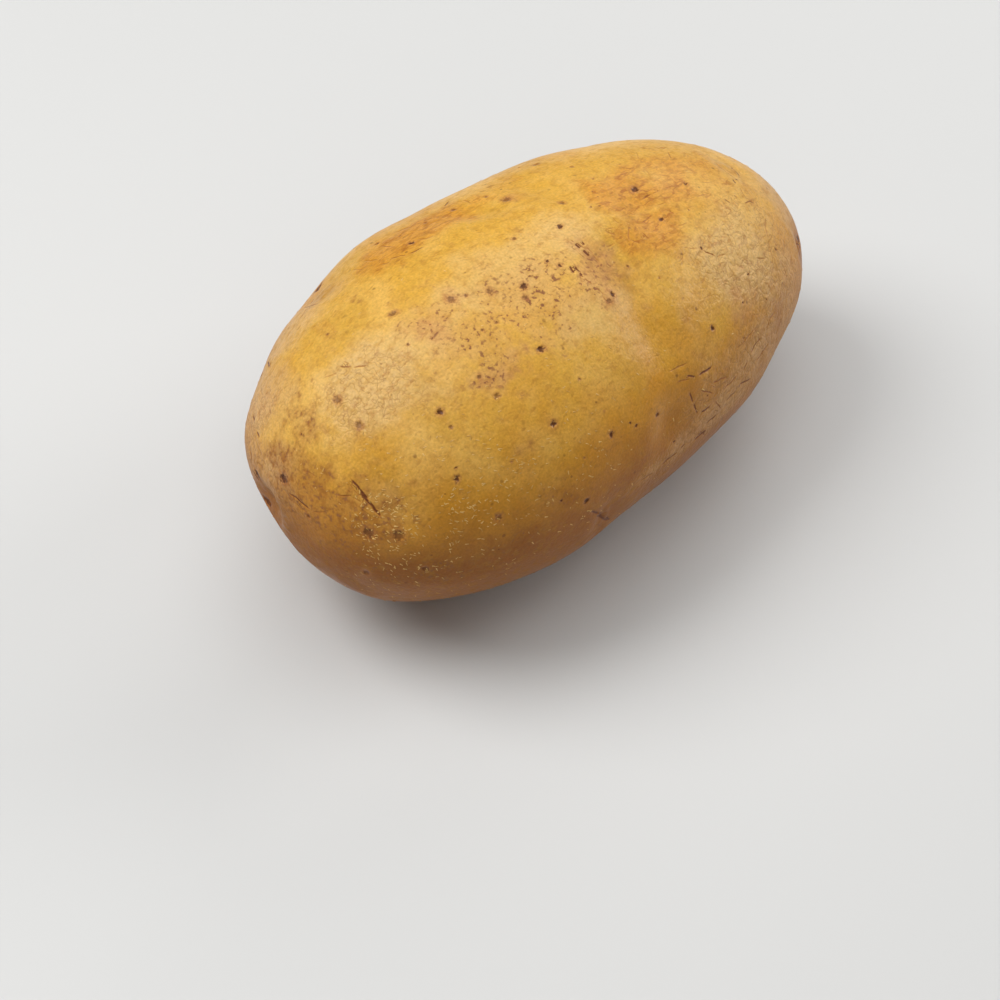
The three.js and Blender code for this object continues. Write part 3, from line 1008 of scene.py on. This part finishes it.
colour = cover(GOLD, [
    (STRAW, stored("straw"), 0.7),
    (OLIVE, stored("olive"), 0.6),
    (STRAW, light_cloud, 0.4),
    # browner skin and painted warm shade on the lower side
    (AMBER_TINT_AND_SHADE, stored("low_side_tint_and_shade"), 0.6),
    (ORANGE, stored("blush"), 0.6),
    # painted highlights, and some paler skin
    (CREAM_AND_HIGHLIGHT, stored("cream_and_highlight"), 0.6),
    # grey-brown skin, also a painted reflection along the rims
    (GREY_TAN, stored("tan_and_rim_sheen"), 0.6),
    (RIND_GREY, times(stored("rind"), patchy), 0.85),
    # painted shade on the side that faces down, held back over the rind
    (UNDERSIDE_SHADE_BROWN, low_shade_brown, 0.85),
    (GREY_TAN, stored("net"), 0.25),
    (PINK_TAN, stored("scurf"), 0.35),
    (BRUISE_PINK, times(stored("bruise"), patchy), 0.6),
    (EARTH, times(stored("earth"), patchy), 0.95),
    (OCHRE, dark_cloud, 0.35),
])
print("clouds and patches laid")

# %% Strokes, cracks and dots
strokes = use_group(tree, curls, {"Place": along_place, "Size": 1.9, "Width": 0.055, "Share": 0.55})["Mask"]
net = use_group(tree, wrinkles, {"Place": place, "Size": 2.6, "Crack": 0.022})
speck_sockets = {"Place": along_place, "Spacing": 1.5, "Size": 0.25, "Share": 0.8}
specks = use_group(tree, freckles, speck_sockets)["Mask"]
pepper = mottled(0.75, 0.555, 0.64, 2.0)
dashes = mottled(0.85, 0.63, 0.72, 1.0, along_place)
hatching = mottled(0.9, 0.50, 0.62, 1.0, along_place)
tiny_dots = use_group(tree, freckles, {"Place": place, "Spacing": 2.4, "Size": 0.34, "Share": 0.5})["Mask"]

netted = calc("ADD", stored("net"), times(stored("tan_and_rim_sheen"), 0.4), clamp=True)
netted = calc("ADD", netted, stored("rind"), clamp=True)
stroked = calc("ADD", times(stored("blush"), 0.85), times(netted, 0.35))
stroke_mask = times(strokes, calc("ADD", stroked, 0.08, clamp=True))
crack_mask = times(net["Crack"], calc("ADD", times(netted, 0.36), 0.05))
gritty = calc("ADD", stored("scurf"), times(stored("earth"), 0.8), clamp=True)
grit = times(pepper, calc("ADD", times(dark_cloud, 0.7), 0.5))

hatched = calc("ADD", stored("blush"), times(stored("earth"), 0.8), clamp=True)
dashed = calc("ADD", times(stored("underside_shade"), 0.35), 0.32)

colour = cover(colour, [
    (RUST, times(hatching, hatched), 0.38),
    (SPECK_BROWN, times(dashes, dashed), 1.0),
    (SPECK_BROWN, specks, 0.5),
    (RUST, stroke_mask, 0.7),
    (CRACK_BROWN, crack_mask, 1.0),
    (PINK_BROWN, times(grit, gritty), 0.85),
    (LINE_BROWN, tiny_dots, 0.55),
])
print("strokes, cracks and dots laid")

# %% Eyes, pores, lines and the scar
GRAIN_CONTRAST = 0.48

frayed = calc("SUBTRACT", grain, 0.5)  # roughens the edges of pores and lines
pore_edge = calc("ADD", stored("pore_away"), times(frayed, 1.2))
pore_core = times(step_between(pore_edge, 0.95, 0.40), stored("pore_darkness"))
pore_halo = step_between(pore_edge, 1.7, 0.8)
line_edge = calc("ABSOLUTE", calc("ADD", stored("line_side"), times(frayed, 0.15)))
line_width = calc("ADD", times(stored("line_strength"), 0.22), 0.12)
line_fade = calc("MULTIPLY", stored("line_strength"), 1.6, clamp=True)
line_mask = times(step_between(line_edge, line_width, 0.03), line_fade)
dark_line = times(line_mask, step_between(stored("line_strength"), 0.30, 0.65))

colour = cover(colour, [
    (PINK_BROWN, stored("eye"), 0.25),
    (HALO_BROWN, pore_halo, 0.45),
    (PORE_BROWN, pore_core, 0.92),
    (RUST, line_mask, 0.85),
    (CREASE_RED, dark_line, 0.85),
    (LINE_BROWN, times(dark_line, dark_line), 0.6),
    (CRACK_BROWN, stored("scar"), 0.6),
])
fine_tone = calc("ADD", times(grain, GRAIN_CONTRAST), 1 - GRAIN_CONTRAST / 2)
toned = add_node(tree, "ShaderNodeVectorMath", {0: colour, "Scale": fine_tone}, operation="SCALE")
tree.links.new(toned.outputs[0], shader.inputs["Base Color"])
print("colour joined to the shader")

# %% Gloss and bump
SATIN = 0.36
DULLING = 0.25  # how much rougher the patches are
GLOSS_DRIFT = 0.12

dull = calc("MAXIMUM", gritty, times(netted, 0.4))
roughness = calc("ADD", times(dark_cloud, GLOSS_DRIFT), SATIN)
tree.links.new(calc("ADD", roughness, times(dull, DULLING)), shader.inputs["Roughness"])

net_relief = calc("ADD", times(netted, 0.075), 0.018)
height = times(net["Height"], net_relief)
height = calc("ADD", height, times(grain, 0.040))
pore_pit = step_between(stored("pore_away"), 0.9, 0.3)
height = calc("SUBTRACT", height, times(pore_pit, 0.10))
height = calc("SUBTRACT", height, times(line_mask, 0.06))
bump = add_node(tree, "ShaderNodeBump", {"Height": height, "Strength": 1.0, "Distance": MM})
tree.links.new(bump.outputs[0], shader.inputs["Normal"])

shader.inputs["IOR"].default_value = 1.31
skin.data.materials.append(skin_material)
print(len(tree.nodes), "nodes in the skin's material")

# %% [markdown]
# ## Loose flakes
# The outermost cork comes off in straw-coloured shreds, under a millimetre long and paper-thin.
# They lie on the lower half in the photograph and catch the light. Each is a real sliver here: a
# four-sided cone, flattened, laid on the skin with one end sunk in it. A seeded draw picks the places.

# %% Scatter the flakes
FLAKE_COUNT = 1500
FLAKE_LENGTH = (0.26, 0.70)
FLAKE_WIDTH = (0.15, 0.28)
FLAKE_FLATNESS = 0.4
FLAKE_TAPER = 0.4  # the thin end's width for the thick end's
FLAKE_SUNK = 0.1  # the share of a flake that is in the skin
FLAKE_LIFT = math.radians(9)
FLAKE_DIRECTION = -27  # degrees from the potato's length
FLAKE_DIRECTION_SPREAD = 38
FLAKE_CLUMP = 7.0  # the size of the clumps that they lie in
FLAKE_SPREAD = 0.485  # how far from the middle they reach, as a share of the length
FLAKE_HEIGHTS = (46, 30)  # unseen ones get more common from the first height down to the second
FLAKE_SHARE_SEEN = 0.02  # outside the flaky places
FLAKE_SHARE_UNSEEN = 0.10
FLAKE_CLEARANCE = 3  # above the floor
FLAKY_PLACES = [  # pixel, reach and share
    (385, 515, 9, 1.0), (350, 490, 8, 0.7), (440, 500, 10, 0.7), (500, 480, 11, 0.5), (570, 470, 12, 0.35),
    (330, 550, 9, 0.5), (420, 545, 10, 0.5), (500, 520, 10, 0.35), (640, 430, 10, 0.15),
]

relief_shape = bmesh.new()
relief_shape.from_mesh(skin.data)
surface = BVHTree.FromBMesh(relief_shape)
relief_shape.free()
flaky_spots = [(spot_at_pixel(x, y).point, reach, share) for x, y, reach, share in FLAKY_PLACES]


def flake_share(spot):
    """How likely a spot is to carry a flake: more in the flaky places, and none on the floor."""
    highest, lowest = FLAKE_HEIGHTS
    lowness = min(1.0, max(0.0, (highest - spot.point[2]) / (highest - lowest)))
    share = FLAKE_SHARE_SEEN if faces_camera(spot) > FACING_UNSEEN else FLAKE_SHARE_UNSEEN * lowness
    for centre, reach, most in flaky_spots:
        share = max(share, most * fade(np.linalg.norm(spot.point - centre) / reach))
    clump = min(1.0, max(0.2, 0.6 + 1.6 * noise.noise(Vector(spot.point) / FLAKE_CLUMP)))
    return share * clump if spot.point[2] > FLAKE_CLEARANCE else 0.0


flake_shape = bmesh.new()
flake_total = 0
while flake_total < FLAKE_COUNT:
    spot = spot_at_place(chance.uniform(-FLAKE_SPREAD, FLAKE_SPREAD) * LENGTH, chance.uniform(0, 360))
    length = chance.uniform(*FLAKE_LENGTH)
    width = chance.uniform(*FLAKE_WIDTH)
    heading = math.radians(chance.gauss(FLAKE_DIRECTION, FLAKE_DIRECTION_SPREAD))
    if chance.random() > flake_share(spot):
        continue
    along = spot.ahead * math.cos(heading) + spot.around * math.sin(heading)
    along = along * math.cos(FLAKE_LIFT) + spot.outward * math.sin(FLAKE_LIFT)
    side = np.cross(spot.outward, along)
    side /= np.linalg.norm(side)
    top = np.cross(along, side)
    centre = spot.point + along * length * (0.5 - FLAKE_SUNK)
    turn = Matrix((side, top, along)).transposed().to_4x4()
    flatten = Matrix.Diagonal((1, FLAKE_FLATNESS, 1, 1))
    shrink = Matrix.Scale(MM, 4)
    bmesh.ops.create_cone(
        flake_shape, cap_ends=True, cap_tris=True, segments=4, radius1=width / 2,
        radius2=width / 2 * FLAKE_TAPER, depth=length,
        matrix=shrink @ Matrix.Translation(Vector(centre)) @ turn @ flatten,
    )
    flake_total += 1
bmesh.ops.recalc_face_normals(flake_shape, faces=flake_shape.faces)
flakes = linked("skin_flakes", bpy.data.meshes.new("skin_flakes"))
flake_shape.to_mesh(flakes.data)
flake_shape.free()
print(flake_total, "flakes,", len(flakes.data.polygons), "faces")

# %% The flakes' material
FLAKE_STRAW = (0.72, 0.45, 0.13, 1)
FLAKE_BROWN = (0.54, 0.29, 0.056, 1)

flake_material = bpy.data.materials.new("dry skin flakes")
flake_material.use_nodes = True
flake_tree = flake_material.node_tree
flake_place = in_millimetres(flake_tree)
flake_sockets = {"Place": flake_place, "Size": 1.5, "Detail": 1.0, "Start": 0.35, "End": 0.65}
flake_clouds = use_group(flake_tree, mottle, flake_sockets)["Mask"]
flake_shader = flake_tree.nodes["Principled BSDF"]
flake_colour = lay_over(FLAKE_STRAW, FLAKE_BROWN, flake_clouds)
flake_tree.links.new(flake_colour, flake_shader.inputs["Base Color"])
flake_shader.inputs["Roughness"].default_value = 0.45
flakes.data.materials.append(flake_material)
print("flakes coloured")

# %% [markdown]
# ## Handing over
# The detailed skin stands for the plain solid, which stays in the model for its weight and its touch.
# The skin and the flakes ride on the potato's one body.

# %% Ride and replace
for piece in (skin, flakes):
    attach(piece, "root")
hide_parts(POTATO)
